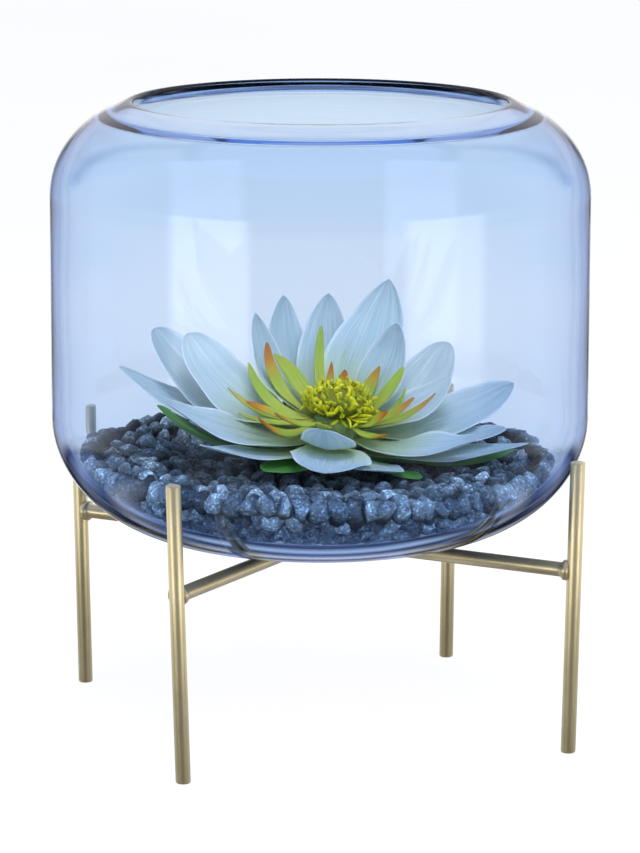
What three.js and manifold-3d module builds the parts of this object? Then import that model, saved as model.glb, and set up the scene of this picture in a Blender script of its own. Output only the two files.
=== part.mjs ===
// A white water lily flower lying on gravel in a round glass bowl, on a four-legged brass stand.
// Millimetres, +Z up. The origin is on the standing surface, under the axis of the bowl.
// The four legs stand at 45, 135, 225 and 315 degrees in plan.
import * as THREE from "three";
import Module from "manifold-3d";

const wasm = await Module();
wasm.setup();

// ---------------------------------------------------------------- driving dimensions
const BOWL_RADIUS = 100;
const BOWL_TOP = 234; // height of the rim above the standing surface
const GAP = 0.3; // clear space left between any two pieces

const ROD_RADIUS = 2.7;
const LEG_HEIGHT = 109;
const LEG_FOOT_CIRCLE = 104.3; // radius of the circle through the four feet
const LEG_TOP_CIRCLE = 106.7; // the legs lean outwards a little
const BAR_HEIGHT = 68.4; // axis of the crossbars

const FLOOR_THICKNESS = 4.4;
const WALL_THICKNESS = 3.2;
const OPENING_RADIUS = 69.2;
const BASE_FLAT_RADIUS = 44; // the flat part underneath, inside the rounded base corner
const FLOOR_FLAT_RADIUS = 42; // the flat part of the bowl's floor, inside
const BASE_CORNER_HEIGHT = 45.4;
const SHOULDER_RADIUS = 62.3; // centre of the shoulder's curve
const SHOULDER_HEIGHT = 34.7;

const GRAVEL_HOLLOW_TOP = 98.4; // the hollow in the gravel that the flower lies in
const GRAVEL_CREST_TOP = 103.4;
const GRAVEL_CLEARANCE = 0.9; // the facets of the glass and of the gravel both need room

// ---------------------------------------------------------------- derived dimensions
const BOWL_BOTTOM = BAR_HEIGHT + ROD_RADIUS + GAP;
const BOWL_FLOOR = BOWL_BOTTOM + FLOOR_THICKNESS;
const INNER_RADIUS = BOWL_RADIUS - WALL_THICKNESS;

// The base corner and the shoulder of the glass are quarter ellipses; each has a centre and two half axes.
const BASE_CORNER = {
  r: BASE_FLAT_RADIUS,
  z: BOWL_BOTTOM + BASE_CORNER_HEIGHT,
  across: BOWL_RADIUS - BASE_FLAT_RADIUS,
  high: BASE_CORNER_HEIGHT,
};
const BASE_CORNER_INSIDE = {
  r: FLOOR_FLAT_RADIUS,
  z: BASE_CORNER.z,
  across: INNER_RADIUS - FLOOR_FLAT_RADIUS,
  high: BASE_CORNER.z - BOWL_FLOOR,
};
const SHOULDER = {
  r: SHOULDER_RADIUS,
  z: BOWL_TOP - SHOULDER_HEIGHT,
  across: BOWL_RADIUS - SHOULDER_RADIUS,
  high: SHOULDER_HEIGHT,
};
const SHOULDER_INSIDE = {
  r: SHOULDER.r,
  z: SHOULDER.z,
  across: INNER_RADIUS - SHOULDER.r,
  high: SHOULDER.high - WALL_THICKNESS,
};

// ---------------------------------------------------------------- the flower's place and its leaves
const FLOWER_TURN = -16; // degrees, the planting as a whole against the square of the stand
const FLOWER_BASE = new THREE.Vector3(5.5, 0, 107); // where the petals meet
const FLOWER_LEAN = 7; // degrees, the flower leans towards its own 0 degree side

const PETAL_THICKNESS = 0.8;
const SEPAL_THICKNESS = 0.9;
const PETALOID_THICKNESS = 0.9;
const BROAD_LEAF_GRID = { along: 8, across: 4 };
const NARROW_LEAF_GRID = { along: 6, across: 2 };
const WIDEST_AT = 0.58; // share of a leaf's length where it is as wide as it gets
const TIP_POWER = 0.62; // how bluntly a leaf closes at its tip
const TURNED_AT = 0.6; // share of a leaf's length where its roll is complete

// Each row of leaves starts on the receptacle, at a radius and a height over the flower's base.
const SEPAL_ROOT = { radius: 9.8, height: -5, width: 7 };
const OUTER_ROOT = { radius: 9.6, height: -3, width: 5.4 };
const SECOND_ROOT = { radius: 9.2, height: -0.6, width: 5.2 };
const THIRD_ROOT = { radius: 8.8, height: 1.8, width: 5 };
const INNER_ROOT = { radius: 9, height: 4.2, width: 3.8 };
const PETALOID_ROOT = { radius: 9.8, height: 6.6, width: 1.4 };

// name, azimuth (degrees), reach and rise of the tip from the flower's base, width,
// bow (how far the middle sags under a straight line), cup (how far the edges rise), roll (degrees),
// sweep (how far the tip bends aside)
const SEPALS = [
  ["sepal_right", 353, 67, 5.4, 22, 2.5, 0.1, 12, 0],
  ["sepal_left", 190, 68, 6.4, 24, 6.4, 0.05, -4, 0],
  ["sepal_front_left", 242, 52, -6.2, 20, 0.4, 0.06, 0, 0],
  ["sepal_front_right", 305, 54, -2.8, 18, 0.6, 0.04, 0, 0],
  ["sepal_back", 96, 56, 10, 20, 4, 0.1, 0, 0],
];
const OUTER_PETALS = [
  ["petal_outer_far_left", 174, 84, 15, 26, 5.4, 0.14, -8, 0],
  ["petal_outer_front_left", 227, 72, 2.6, 24, 3.2, 0.08, 0, 0],
  ["petal_outer_front", 293, 58, 1.2, 21, 2.2, 0.08, 0, 0],
  ["petal_outer_right", 341, 74, 12, 23, 4, 0.14, 8, 0],
  ["petal_outer_back_right", 45, 54, 35, 27, 8, 0.18, 8, -1.5],
  ["petal_outer_back", 85, 56, 24, 24, 7, 0.16, 0, 0],
  ["petal_outer_back_left", 123, 45, 45.5, 22.2, 8.2, 0.2, 0, 1],
];
const SECOND_PETALS = [
  ["petal_second_left", 161.4, 77.4, 28.4, 30.2, 8.4, 0.26, -22, -2],
  ["petal_second_front_left", 206, 70.5, 11.8, 30, 5.4, 0.18, -12, 0],
  ["petal_second_front", 266, 56, -2, 31, 0.4, 0.15, 0, 0],
  ["petal_second_right", 352, 63, 13.5, 20, 3.2, 0.16, 8, 0],
  ["petal_second_back", 101, 43, 47.5, 24, 8, 0.22, 0, 0],
];
const THIRD_PETALS = [
  ["petal_third_left", 168, 61, 30.5, 30.6, 8, 0.2, -26, 0],
  ["petal_third_front_right", 322, 63, 14, 27, 4.6, 0.2, 14, 0],
  ["petal_third_right", 10, 66, 26.5, 28, 5.6, 0.18, 22, 0],
  ["petal_third_back_right", 76, 42, 56, 32, 8, 0.22, 8, -4],
];
const INNER_PETALS = [
  ["petal_inner_back_left", 147, 42, 40, 23, 7, 0.2, -2, 0],
  ["petal_inner_front", 262, 37, 10, 21, 6, 0.26, 0, 0],
  ["petal_inner_right", 13, 42, 26, 19, 4, 0.18, 20, 0],
  ["petal_inner_back_right", 50, 29, 43, 22, 6, 0.22, 8, 0],
];
// Narrow leaves, half petal and half stamen, around the stamens.
const PETALOIDS = [
  ["petaloid_back", 119, 20.4, 39, 4.4, 2.8, 0.2, 0, 0],
  ["petaloid_back_left_tall", 160, 31.4, 31.2, 5, 5, 0.2, -50, 0],
  ["petaloid_back_left_curled", 142, 31, 26, 6.8, -1.2, 0.2, -45, 3],
  ["petaloid_left_high", 177, 35.5, 24, 5.2, 5.6, 0.2, -45, 0],
  ["petaloid_left_thin", 188.5, 42.4, 15, 4, 4, 0.2, -45, 0],
  ["petaloid_left_low", 200, 36.6, 11.9, 4, 1.2, 0.2, -40, 0],
  ["petaloid_left_front", 211, 43, 9.2, 3, 2, 0.2, -30, 0],
  ["petaloid_front_left_curled", 222.6, 40, 9.6, 4.6, 5, 0.2, -25, 0],
  ["petaloid_front_left_short", 233.5, 40, 13, 4.6, 2, 0.2, -20, 0],
  ["petaloid_front", 252, 24, 9.5, 6, 1.4, 0.2, 0, 0],
  ["petaloid_front_right", 307, 30.2, 9, 5, 2.2, 0.2, 15, 0],
  ["petaloid_front_right_broad", 320, 23, 15, 6, 1.2, 0.2, 40, 0],
  ["petaloid_right_front", 336, 29.5, 21, 4.4, 2, 0.2, 40, 0],
  ["petaloid_right_long", 349, 35.5, 22.6, 3.8, 3.4, 0.2, 40, 0],
  ["petaloid_right_thin", 3, 24, 22, 3.1, 4, 0.2, 30, 0],
  ["petaloid_right_high", 17, 23.6, 28.6, 4.4, 1, 0.2, 50, 0],
  ["petaloid_back_right", 56, 22, 26, 6.4, 1.6, 0.2, 20, -2],
  ["petaloid_back_blunt", 86, 17, 22.8, 4, 1.8, 0.2, 0, 0],
  ["petaloid_back_short", 103, 18.6, 25, 4, 2, 0.2, 0, 0],
];

// ---------------------------------------------------------------- colours and finishes
const finishes = {
  glass: { color: 0xa9c4ea, roughness: 0.05, metalness: 0, transparent: true, opacity: 0.35 },
  brass: { color: 0xb7a36f, roughness: 0.38, metalness: 1 },
  gravel: { color: 0x55606f, roughness: 0.9, metalness: 0 },
  petal: { color: 0xdce9ee, roughness: 0.6, metalness: 0 },
  sepal: { color: 0x4f7d3a, roughness: 0.6, metalness: 0 },
  petaloid: { color: 0xb9c83f, roughness: 0.6, metalness: 0 },
  stamen: { color: 0xa9a52c, roughness: 0.75, metalness: 0 },
  receptacle: { color: 0x7f9a4c, roughness: 0.7, metalness: 0 },
};

function pieceOf(name, geometry, finish) {
  const mesh = new THREE.Mesh(geometry, new THREE.MeshStandardMaterial(finishes[finish]));
  mesh.name = name;
  return mesh;
}

const radians = THREE.MathUtils.degToRad;
const lerp = THREE.MathUtils.lerp;
const smooth = (x, from, to) => THREE.MathUtils.smoothstep(x, from, to);

// ---------------------------------------------------------------- solids from points
function geometryOf(points, triangles) {
  const geometry = new THREE.BufferGeometry().setFromPoints(points);
  geometry.setIndex(triangles.flat());
  geometry.computeVertexNormals();
  return geometry;
}

// A round solid. pointAt(station, angle) gives [radius, height]. The first and the last station are on the
// axis, and the stations run from underneath, round the outside, to the top.
function roundSolid(stations, segments, pointAt) {
  const points = [];
  const triangles = [];
  const add = (station, angle) => {
    const [radius, height] = pointAt(station, angle);
    points.push(new THREE.Vector3(radius * Math.cos(angle), radius * Math.sin(angle), height));
  };
  add(0, 0);
  for (let i = 1; i < stations - 1; i++) {
    for (let j = 0; j < segments; j++) {
      add(i, (2 * Math.PI * j) / segments);
    }
  }
  add(stations - 1, 0);
  const at = (i, j) => 1 + (i - 1) * segments + (j % segments);
  const last = points.length - 1;
  for (let j = 0; j < segments; j++) {
    triangles.push([0, at(1, j + 1), at(1, j)]);
    triangles.push([last, at(stations - 2, j), at(stations - 2, j + 1)]);
    for (let i = 1; i < stations - 2; i++) {
      triangles.push([at(i, j), at(i, j + 1), at(i + 1, j + 1)]);
      triangles.push([at(i, j), at(i + 1, j + 1), at(i + 1, j)]);
    }
  }
  return geometryOf(points, triangles);
}

function turned(profile, segments) {
  return roundSolid(profile.length, segments, (station) => profile[station]);
}

// A leaf: a curved sheet of even thickness. middleAt(t, side) is its middle surface, with t from 0 at the
// root to 1 at the tip, and side from -1 to 1.
function sheetSolid(middleAt, { along, across }, thickness) {
  const points = [];
  const triangles = [];
  const step = 0.004;
  const crowding = 1.25; // the stations stand closer together towards the tip
  for (const face of [1, -1]) {
    for (let i = 0; i <= along; i++) {
      const t = 1 - Math.pow(1 - i / along, crowding);
      for (let j = 0; j <= across; j++) {
        const side = (2 * j) / across - 1;
        const ahead = middleAt(t + step, side).sub(middleAt(t - step, side));
        const sideways = middleAt(t, side + step).sub(middleAt(t, side - step));
        const up = ahead.cross(sideways).normalize();
        points.push(middleAt(t, side).addScaledVector(up, (face * thickness) / 2));
      }
    }
  }
  const perFace = (along + 1) * (across + 1);
  const top = (i, j) => i * (across + 1) + j;
  const under = (i, j) => perFace + top(i, j);
  const quad = (a, b, c, d) => triangles.push([a, b, c], [a, c, d]);
  for (let i = 0; i < along; i++) {
    for (let j = 0; j < across; j++) {
      quad(top(i, j), top(i + 1, j), top(i + 1, j + 1), top(i, j + 1));
      quad(under(i, j), under(i, j + 1), under(i + 1, j + 1), under(i + 1, j));
    }
    quad(top(i, 0), under(i, 0), under(i + 1, 0), top(i + 1, 0));
    quad(top(i + 1, across), under(i + 1, across), under(i, across), top(i, across));
  }
  for (let j = 0; j < across; j++) {
    quad(top(0, j + 1), under(0, j + 1), under(0, j), top(0, j));
    quad(top(along, j), under(along, j), under(along, j + 1), top(along, j + 1));
  }
  return geometryOf(points, triangles);
}

function manifoldOf(geometry) {
  return new wasm.Manifold(
    new wasm.Mesh({
      numProp: 3,
      vertProperties: new Float32Array(geometry.attributes.position.array),
      triVerts: new Uint32Array(geometry.index.array),
    }),
  );
}

function cutBy(geometry, tools) {
  let solid = manifoldOf(geometry);
  for (const tool of tools) {
    solid = solid.subtract(manifoldOf(tool));
  }
  const mesh = solid.getMesh();
  const cut = new THREE.BufferGeometry();
  cut.setAttribute("position", new THREE.BufferAttribute(mesh.vertProperties, 3));
  cut.setIndex(new THREE.BufferAttribute(mesh.triVerts, 1));
  cut.computeVertexNormals();
  return cut;
}

// ---------------------------------------------------------------- the glass bowl
// A point of a quarter ellipse, at an angle over its centre (negative below it).
function onCorner(corner, angle) {
  return [corner.r + corner.across * Math.cos(angle), corner.z + corner.high * Math.sin(angle)];
}

function cornerPoints(corner, from, to, steps) {
  const points = [];
  for (let i = 0; i <= steps; i++) {
    points.push(onCorner(corner, lerp(from, to, i / steps)));
  }
  return points;
}

function glassBowl() {
  const quarter = Math.PI / 2;
  const segments = 44;
  // The rounded bead at the rim starts a little way down the shoulder, outside and inside.
  const underRim = Math.acos((OPENING_RADIUS + 7.6 - SHOULDER.r) / SHOULDER.across);
  const underRimInside = Math.acos((OPENING_RADIUS + 1.6 - SHOULDER.r) / SHOULDER_INSIDE.across);
  const rimBead = [
    [OPENING_RADIUS + 6.4, BOWL_TOP - 1.7],
    [OPENING_RADIUS + 5.2, BOWL_TOP - 0.5],
    [OPENING_RADIUS + 3.2, BOWL_TOP],
    [OPENING_RADIUS + 1.2, BOWL_TOP - 0.6],
    [OPENING_RADIUS, BOWL_TOP - 2.2],
  ];
  const profile = [
    [0, BOWL_BOTTOM],
    ...cornerPoints(BASE_CORNER, -quarter, 0, 7),
    ...cornerPoints(SHOULDER, 0, underRim, 5),
    ...rimBead,
    ...cornerPoints(SHOULDER_INSIDE, underRimInside, 0, 5),
    ...cornerPoints(BASE_CORNER_INSIDE, 0, -quarter, 7),
    [0, BOWL_FLOOR],
  ];
  return pieceOf("glass_bowl", turned(profile, segments), "glass");
}

// ---------------------------------------------------------------- the brass stand
const LEGS = [
  { name: "leg_back_right", azimuth: 45, footAside: 0 },
  { name: "leg_back_left", azimuth: 135, footAside: 0 },
  { name: "leg_front_left", azimuth: 225, footAside: 2.2 }, // bent a little: its foot stands to one side
  { name: "leg_front_right", azimuth: 315, footAside: 0 },
];
const ROD_SEGMENTS = 16;
const ROD_CHAMFER = 0.5;

function rodGeometry(length, radius, chamfer) {
  return turned(
    [
      [0, 0],
      [radius - chamfer, 0],
      [radius, chamfer],
      [radius, length - chamfer],
      [radius - chamfer, length],
      [0, length],
    ],
    ROD_SEGMENTS,
  );
}

// A leg stands on a flat foot, so it is slanted rather than tipped.
function legGeometry(leg, radius, chamfer) {
  const outwards = (LEG_TOP_CIRCLE - LEG_FOOT_CIRCLE) / LEG_HEIGHT;
  const aside = -leg.footAside / LEG_HEIGHT;
  return rodGeometry(LEG_HEIGHT, radius, chamfer)
    .applyMatrix4(new THREE.Matrix4().makeShear(0, 0, 0, 0, outwards, aside))
    .translate(LEG_FOOT_CIRCLE, leg.footAside, 0)
    .rotateZ(radians(leg.azimuth));
}

// A crossbar lies along +X at the height of the bars, and flares at each end that is welded to a leg.
function barGeometry(fromX, toX) {
  const weldRadius = ROD_RADIUS + 0.9;
  const weldLength = ROD_RADIUS + 2.4;
  const length = toX - fromX;
  const weldedStart = [
    [weldRadius, 0],
    [weldRadius, ROD_RADIUS],
    [ROD_RADIUS, weldLength],
  ];
  const plainStart = [[ROD_RADIUS, 0]];
  return turned(
    [
      [0, 0],
      ...(fromX < 0 ? weldedStart : plainStart),
      [ROD_RADIUS, length - weldLength],
      [weldRadius, length - ROD_RADIUS],
      [weldRadius, length],
      [0, length],
    ],
    ROD_SEGMENTS,
  )
    .rotateY(radians(90))
    .translate(fromX, 0, BAR_HEIGHT);
}

function stand() {
  const group = new THREE.Group();
  for (const leg of LEGS) {
    group.add(pieceOf(leg.name, legGeometry(leg, ROD_RADIUS, ROD_CHAMFER), "brass"));
  }
  const hollows = LEGS.map((leg) => legGeometry(leg, ROD_RADIUS + GAP, 0));
  const legCircle = lerp(LEG_FOOT_CIRCLE, LEG_TOP_CIRCLE, BAR_HEIGHT / LEG_HEIGHT);
  const longBar = barGeometry(-legCircle, legCircle).rotateZ(radians(45));
  const longBarHollow = rodGeometry(2 * legCircle, ROD_RADIUS + GAP, 0)
    .rotateY(radians(90))
    .translate(-legCircle, 0, BAR_HEIGHT)
    .rotateZ(radians(45));
  group.add(pieceOf("crossbar_long", cutBy(longBar, hollows), "brass"));
  for (const [name, azimuth] of [
    ["crossbar_half_left", 135],
    ["crossbar_half_right", 315],
  ]) {
    const half = barGeometry(0, legCircle).rotateZ(radians(azimuth));
    group.add(pieceOf(name, cutBy(half, [...hollows, longBarHollow]), "brass"));
  }
  return group;
}

// ---------------------------------------------------------------- the gravel
// The top of the gravel: a shallow, slightly lumpy hollow inside a crest that is lower at one side.
function gravelTop(radius, angle) {
  const hollowRadius = 56;
  const crestRadius = 82;
  const crest = smooth(radius, hollowRadius, crestRadius);
  const lumps = 0.5 * Math.sin(5 * angle + 1.3 * radius) + 0.4 * Math.sin(11 * angle - 0.7 * radius);
  const lowSide = -3 * Math.max(0, Math.cos(angle + radians(15)));
  return lerp(GRAVEL_HOLLOW_TOP, GRAVEL_CREST_TOP + lowSide, crest) + lumps;
}

function gravelBed() {
  const edge = { ...BASE_CORNER_INSIDE };
  edge.across -= GRAVEL_CLEARANCE;
  edge.high -= GRAVEL_CLEARANCE;
  const topAngle = -0.42; // where the gravel leaves the glass, seen from the centre of the corner
  const segments = 32;
  const underSteps = 5;
  const topRings = [84, 75, 65, 54, 42, 28, 14];
  const stations = 1 + underSteps + 1 + topRings.length + 1;
  return roundSolid(stations, segments, (station, angle) => {
    if (station === 0) {
      return [0, BOWL_FLOOR + GRAVEL_CLEARANCE];
    }
    if (station <= underSteps + 1) {
      return onCorner(edge, lerp(-Math.PI / 2, topAngle, (station - 1) / underSteps));
    }
    if (station === stations - 1) {
      return [0, gravelTop(0, 0)];
    }
    const radius = topRings[station - underSteps - 2];
    return [radius, gravelTop(radius, angle)];
  });
}

// ---------------------------------------------------------------- the flower
// The outline of a leaf: half its width at t, as a share of the widest half width.
function outline(t, rootShare) {
  const growing = rootShare + (1 - rootShare) * Math.sin((Math.PI / 2) * Math.min(1, t / WIDEST_AT));
  const closing = Math.pow(Math.max(0, 1 - Math.pow(Math.max(t, 0), 4)), TIP_POWER);
  const bluntTip = 0.03;
  return Math.max(growing * closing, bluntTip);
}

function leafGeometry([, azimuth, reach, rise, width, bow, cup, roll, sweep], root, thickness, grid) {
  const start = new THREE.Vector3(root.radius, 0, root.height);
  const end = new THREE.Vector3(reach, 0, rise);
  const line = end.clone().sub(start);
  const sag = new THREE.Vector3(line.z, 0, -line.x).normalize();
  const bend = start.clone().lerp(end, 0.5).addScaledVector(sag, 2 * bow);
  const middleAt = (t, side) => {
    const centre = new THREE.Vector3()
      .addScaledVector(start, (1 - t) * (1 - t))
      .addScaledVector(bend, 2 * t * (1 - t))
      .addScaledVector(end, t * t);
    const ahead = new THREE.Vector3()
      .addScaledVector(bend.clone().sub(start), 1 - t)
      .addScaledVector(end.clone().sub(bend), t)
      .normalize();
    const up = new THREE.Vector3(-ahead.z, 0, ahead.x);
    const half = (width / 2) * outline(t, root.width / width);
    const turn = radians(roll) * smooth(t, 0, TURNED_AT);
    const sideways = side * half;
    const lift = cup * half * side * side;
    return centre
      .addScaledVector(up, lift * Math.cos(turn) + sideways * Math.sin(turn))
      .add(new THREE.Vector3(0, sideways * Math.cos(turn) - lift * Math.sin(turn) + sweep * t * t, 0));
  };
  return sheetSolid(middleAt, grid, thickness).rotateZ(radians(azimuth));
}

function leaves(list, root, thickness, finish, grid = BROAD_LEAF_GRID) {
  return list.map((leaf) => pieceOf(leaf[0], leafGeometry(leaf, root, thickness, grid), finish));
}

// The core that every leaf is fixed round.
function receptacle() {
  const profile = [
    [0, -6.6],
    [5.5, -6.6],
    [8.2, -5.4],
    [8.4, -3.4],
    [7.9, -0.4],
    [7.4, 2.8],
    [8.4, 5],
    [8.6, 6.8],
    [6.4, 8.2],
    [0, 8.2],
  ];
  const segments = 18;
  return pieceOf("receptacle", turned(profile, segments), "receptacle");
}

// The stamens stand so close together that they make one knobbly dome.
function stamenCluster() {
  const profile = [
    [0, 8.2 + GAP],
    [6.2, 8.2 + GAP],
    [11, 11.6],
    [13.4, 14.2],
    [13.8, 16.8],
    [12, 19.2],
    [8.6, 21],
    [4.2, 21.8],
    [0, 22],
  ];
  const knobs = 12;
  const geometry = roundSolid(profile.length, 2 * knobs, (station, angle) => {
    const [radius, height] = profile[station];
    const onDome = station > 1 && station < profile.length - 1;
    const knob = onDome ? 0.5 * Math.cos(knobs * angle + Math.PI * station) : 0;
    return [radius + knob * Math.min(1, radius / 8), height];
  });
  return pieceOf("stamen_cluster", geometry, "stamen");
}

function flower() {
  const group = new THREE.Group();
  group.position.copy(FLOWER_BASE);
  group.rotation.y = radians(FLOWER_LEAN);
  group.add(receptacle(), stamenCluster());
  group.add(...leaves(SEPALS, SEPAL_ROOT, SEPAL_THICKNESS, "sepal"));
  group.add(...leaves(OUTER_PETALS, OUTER_ROOT, PETAL_THICKNESS, "petal"));
  group.add(...leaves(SECOND_PETALS, SECOND_ROOT, PETAL_THICKNESS, "petal"));
  group.add(...leaves(THIRD_PETALS, THIRD_ROOT, PETAL_THICKNESS, "petal"));
  group.add(...leaves(INNER_PETALS, INNER_ROOT, PETAL_THICKNESS, "petal"));
  group.add(...leaves(PETALOIDS, PETALOID_ROOT, PETALOID_THICKNESS, "petaloid", NARROW_LEAF_GRID));
  return group;
}

// ---------------------------------------------------------------- the whole object
const planting = new THREE.Group();
planting.rotation.z = radians(FLOWER_TURN);
planting.add(flower(), pieceOf("gravel_bed", gravelBed(), "gravel"));

const group = new THREE.Group();
group.add(glassBowl(), stand(), planting);

export default group;
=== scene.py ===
# A white water lily flower lying on gravel in a round glass bowl, on a four-legged brass stand.
# Sizes are in millimetres and named angles in degrees. What is built is in metres, in the frame's axes.
import math
import random
from collections import namedtuple

import bmesh
import bpy
import numpy as np
from mathutils import Matrix, Quaternion, Vector


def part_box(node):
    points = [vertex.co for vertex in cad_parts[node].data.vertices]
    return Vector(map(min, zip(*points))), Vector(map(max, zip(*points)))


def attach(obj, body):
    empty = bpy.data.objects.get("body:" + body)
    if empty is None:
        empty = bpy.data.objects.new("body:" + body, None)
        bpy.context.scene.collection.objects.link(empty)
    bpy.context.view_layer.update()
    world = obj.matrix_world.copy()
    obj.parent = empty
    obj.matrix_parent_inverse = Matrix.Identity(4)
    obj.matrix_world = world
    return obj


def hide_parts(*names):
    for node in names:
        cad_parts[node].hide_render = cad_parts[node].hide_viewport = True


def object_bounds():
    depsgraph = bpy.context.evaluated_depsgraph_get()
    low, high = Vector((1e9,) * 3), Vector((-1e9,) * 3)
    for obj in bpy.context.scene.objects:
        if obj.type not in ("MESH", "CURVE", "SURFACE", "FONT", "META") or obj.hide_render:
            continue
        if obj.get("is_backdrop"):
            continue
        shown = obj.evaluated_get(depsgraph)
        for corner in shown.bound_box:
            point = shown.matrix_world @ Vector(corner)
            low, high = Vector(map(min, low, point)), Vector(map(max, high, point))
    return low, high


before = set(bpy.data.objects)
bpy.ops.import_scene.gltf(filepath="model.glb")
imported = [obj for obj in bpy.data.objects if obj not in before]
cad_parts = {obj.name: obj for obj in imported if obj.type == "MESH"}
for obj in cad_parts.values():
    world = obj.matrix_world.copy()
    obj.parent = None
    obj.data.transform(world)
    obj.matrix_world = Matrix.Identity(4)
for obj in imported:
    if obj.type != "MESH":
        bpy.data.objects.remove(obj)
cad_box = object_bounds()

MM = 0.001
SEED = 7

# ---------------- driving dimensions
bowl_low, bowl_high = (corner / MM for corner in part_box("glass_bowl"))
BOWL_RADIUS = bowl_high.x
BOWL_TOP = bowl_high.z
BOWL_BOTTOM = bowl_low.z
FLOOR_THICKNESS = 4.4
WALL_THICKNESS = 3.2
WALL_SWELL = 0.5  # how much thicker the wall is at the shoulder and at the base corner than half way up
SHOULDER_THICKNESS = 2.7
LIP_THICKNESS = 2.2
OPENING_RADIUS = 69.2
LIP_RISE_WIDTH = 7.6  # how far outside the opening the shoulder's curve gives way to the rise to the lip
BEAD_WIDTH = 11  # the beaded lip's, from the opening outwards
BEAD_DEPTH = 1.1  # how far it hangs under the glass
BOWL_SEGMENTS = 160
BASE_FLAT_RADIUS = 44
FLOOR_FLAT_RADIUS = 42
BASE_CORNER_HEIGHT = 45.4
SHOULDER_RADIUS = 62.3
SHOULDER_HEIGHT = 34.7

ROD_RADIUS = 2.7
LEG_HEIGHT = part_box("leg_back_right")[1].z / MM
LEG_FOOT_CIRCLE = 104.3
LEG_TOP_CIRCLE = 106.7
BOWL_TO_BAR_GAP = 0.3
BAR_HEIGHT = BOWL_BOTTOM - BOWL_TO_BAR_GAP - ROD_RADIUS
ROD_CHAMFER = 0.6
ROD_SEGMENTS = 48
BAR_INTO_LEG = 1.2
HALF_BAR_INTO_LONG_BAR = 1
WELD_WIDTH = 1.1
WELD_COLLAR_LENGTH = 2.3
WELD_FILLET_LENGTH = 2.2

GRAVEL_HOLLOW_TOP = 98.4
GRAVEL_HOLLOW_RADIUS = 56
GRAVEL_CREST_TOP = 103.4
GRAVEL_CREST_RADIUS = 82
GRAVEL_LOW_SIDE = 3  # how much lower the crest is at its lowest side
GRAVEL_RADIUS = 94
STONE_COUNT = 1440
STONE_SPACING = 8.0
STONE_KINDS = 16
STONE_CHIPS = 15
STONE_CLEARANCE = 0.35  # to the glass
SETTLING_ROUNDS = 40
SHADED_RADIUS = 60  # painted shade: the stones nearer to the axis lie under the flower, and are painted darker
SHADED_BRIGHTNESS = 0.6
PAINTED_SHADE_DEPTH = 26  # painted shade: the stones lower than this over the bowl's floor are painted darker downwards
DEEPEST_BRIGHTNESS = 0.35

PLANTING_TURN = -16  # how far the gravel and the flower are turned round in the bowl
FLOWER_BASE = Vector((5.5, 0, 107))
FLOWER_LEAN = 7
SEPAL_THICKNESS = 0.9
PETAL_THICKNESS = 0.8
PETALOID_THICKNESS = 1.1

STAMEN_DOME_RADIUS = 10.9
STAMEN_DOME_RISE = 6.4
STAMEN_DOME_BASE = 13.2
STAMEN_SKIRT_RADIUS = 9.4
DOME_FILAMENTS = 150
SKIRT_FILAMENTS = 64

# A quarter ellipse of the bowl's profile: its centre's radius and height, and its half axes.
Corner = namedtuple("Corner", "r z across high")
BOWL_FLOOR = BOWL_BOTTOM + FLOOR_THICKNESS
INNER_RADIUS = BOWL_RADIUS - WALL_THICKNESS
SWOLLEN_RADIUS = INNER_RADIUS - WALL_SWELL
BASE_CORNER = Corner(
    BASE_FLAT_RADIUS, BOWL_BOTTOM + BASE_CORNER_HEIGHT, BOWL_RADIUS - BASE_FLAT_RADIUS, BASE_CORNER_HEIGHT
)
BASE_CORNER_INSIDE = Corner(
    FLOOR_FLAT_RADIUS, BASE_CORNER.z, SWOLLEN_RADIUS - FLOOR_FLAT_RADIUS, BASE_CORNER.z - BOWL_FLOOR
)
SHOULDER = Corner(
    SHOULDER_RADIUS, BOWL_TOP - SHOULDER_HEIGHT, BOWL_RADIUS - SHOULDER_RADIUS, SHOULDER_HEIGHT
)
SHOULDER_INSIDE = Corner(
    SHOULDER_RADIUS, SHOULDER.z, SWOLLEN_RADIUS - SHOULDER_RADIUS, SHOULDER_HEIGHT - SHOULDER_THICKNESS
)


def turned_to(azimuth):
    return Matrix.Rotation(math.radians(azimuth), 4, "Z")


planting_place = turned_to(PLANTING_TURN)
flower_place = (
    planting_place @ Matrix.Translation(FLOWER_BASE) @ Matrix.Rotation(math.radians(FLOWER_LEAN), 4, "Y")
)

# ---------------- the flower's leaves
# Where a row of leaves starts on the receptacle, from the flower's base, and how wide the roots are.
Root = namedtuple("Root", "radius height width")

# reach and rise: the tip's place from the flower's base, bow: how far the middle sags,
# cup: how far the edges rise, roll: how far the leaf turns about its own length,
# sweep: how far the tip bends aside, blunt: from 0 for a pointed tip to 1 for a blunt one,
# orange: how orange the tip is
Leaf = namedtuple(
    "Leaf", "name root azimuth reach rise width bow cup roll sweep blunt orange", defaults=[0.0]
)


def leaf_row(prefix, root, *leaves):
    return [Leaf(prefix + name, root, *numbers) for name, *numbers in leaves]


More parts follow.
